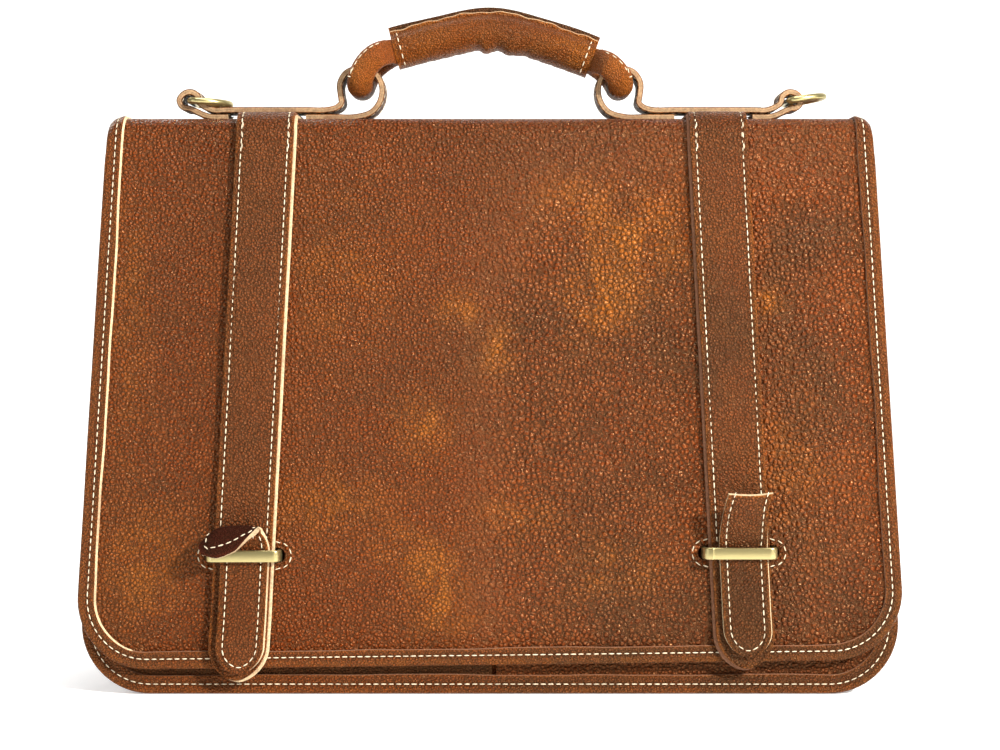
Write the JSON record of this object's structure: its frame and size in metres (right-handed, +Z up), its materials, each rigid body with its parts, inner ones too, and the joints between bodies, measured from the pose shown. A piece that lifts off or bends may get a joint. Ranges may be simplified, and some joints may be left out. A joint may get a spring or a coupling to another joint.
{
  "type": "leather document case",
  "caption": "Tapered leather case with a full front flap closed by straps over brass staples, a rolled top handle and D rings for a shoulder strap.",
  "frame": {"origin": "middle of the bounding box, on the surface that the case stands on", "axes": "+X to the viewer's right when the flap faces the viewer, -Y out of the flap's front, +Z up"},
  "size_m": [0.402, 0.105, 0.3391],
  "materials": {
    "leather_body": "pebbled, waxed, mottled brown",
    "leather_dark": "pebbled dark brown",
    "leather_binding": "smooth folded edging",
    "leather_strap": "pebbled with raw cream edges",
    "leather_handle": "pebbled, lighter tan",
    "brass": "brushed antique"
  },
  "bodies": {
    "case": {"front_panel": "leather_body", "back_panel": "leather_body", "gusset": "leather_body", "pocket_left": "leather_dark", "pocket_right": "leather_body", "front_binding": "leather_binding", "back_binding": "leather_binding", "flap": "leather_body", "flap_binding": "leather_binding", "strap_left": "leather_strap", "tongue_left": "leather_strap", "staple_left": "brass", "strap_right": "leather_strap", "tongue_right": "leather_strap", "staple_right": "brass", "handle_core": "leather_handle", "handle_sleeve": "leather_handle", "anchor_left": "leather_dark", "anchor_right": "leather_dark"},
    "ring_left": {"ring_left": "brass"},
    "ring_right": {"ring_right": "brass"}
  },
  "joints": [
    {"name": "ring_left_swing", "type": "hinge", "parent": "case", "child": "ring_left", "pos_m": [-0.1495, 0.00847, 0.2917], "axis": [0, -1, 0], "range_deg": [0, 200]},
    {"name": "ring_right_swing", "type": "hinge", "parent": "case", "child": "ring_right", "pos_m": [0.1495, 0.00847, 0.2917], "axis": [0, -1, 0], "range_deg": [0, 173]}
  ]
}
